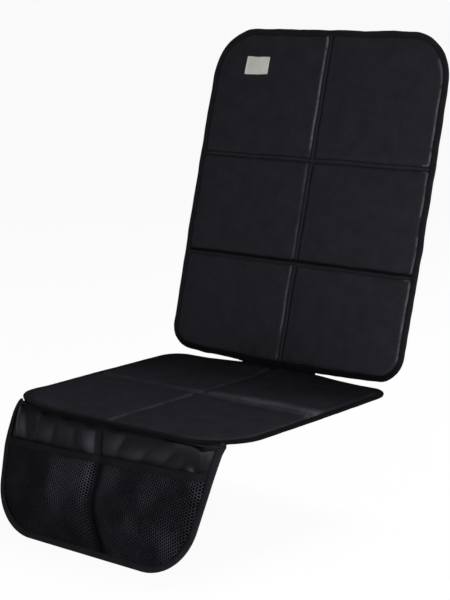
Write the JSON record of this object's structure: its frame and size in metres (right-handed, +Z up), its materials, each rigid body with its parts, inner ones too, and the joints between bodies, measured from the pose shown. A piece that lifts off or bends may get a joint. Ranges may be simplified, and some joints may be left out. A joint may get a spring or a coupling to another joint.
{
  "type": "car seat protector",
  "caption": "Padded black cloth protector for a car seat: reclined quilted backrest, quilted seat and a hanging front flap with net pockets.",
  "frame": {"origin": "middle of the seat's flat underside, where it lies on the car seat's cushion", "axes": "+Z up, +Y to the backrest, -Y to the front flap, +X to the right as seen from the front"},
  "size_m": [0.494, 0.636, 0.7632],
  "materials": {
    "oxford_cloth": "coated woven polyester, faint sheen",
    "non_slip_lining": "matt rubbery cloth",
    "foam": "closed-cell foam board, hidden",
    "binding_tape": "ribbed matt tape",
    "coated_cloth": "smooth coated cloth, soft gloss",
    "net": "knitted net",
    "label": "silver-grey soft patch, bare"
  },
  "bodies": {
    "root": {"back_binding": "binding_tape", "back_cover": "oxford_cloth", "back_foam_bottom_left": "foam", "back_foam_bottom_right": "foam", "back_foam_middle_left": "foam", "back_foam_middle_right": "foam", "back_foam_top_left": "foam", "back_foam_top_right": "foam", "back_lining": "non_slip_lining", "flap_binding": "binding_tape", "flap_cloth": "coated_cloth", "flap_seam_tape": "binding_tape", "hinge_strip": "oxford_cloth", "label_patch": "label", "pocket_hem": "binding_tape", "pocket_net": "net", "seat_binding": "binding_tape", "seat_cover": "oxford_cloth", "seat_foam_front_left": "foam", "seat_foam_front_right": "foam", "seat_foam_rear_left": "foam", "seat_foam_rear_right": "foam", "seat_lining": "non_slip_lining"}
  },
  "joints": []
}
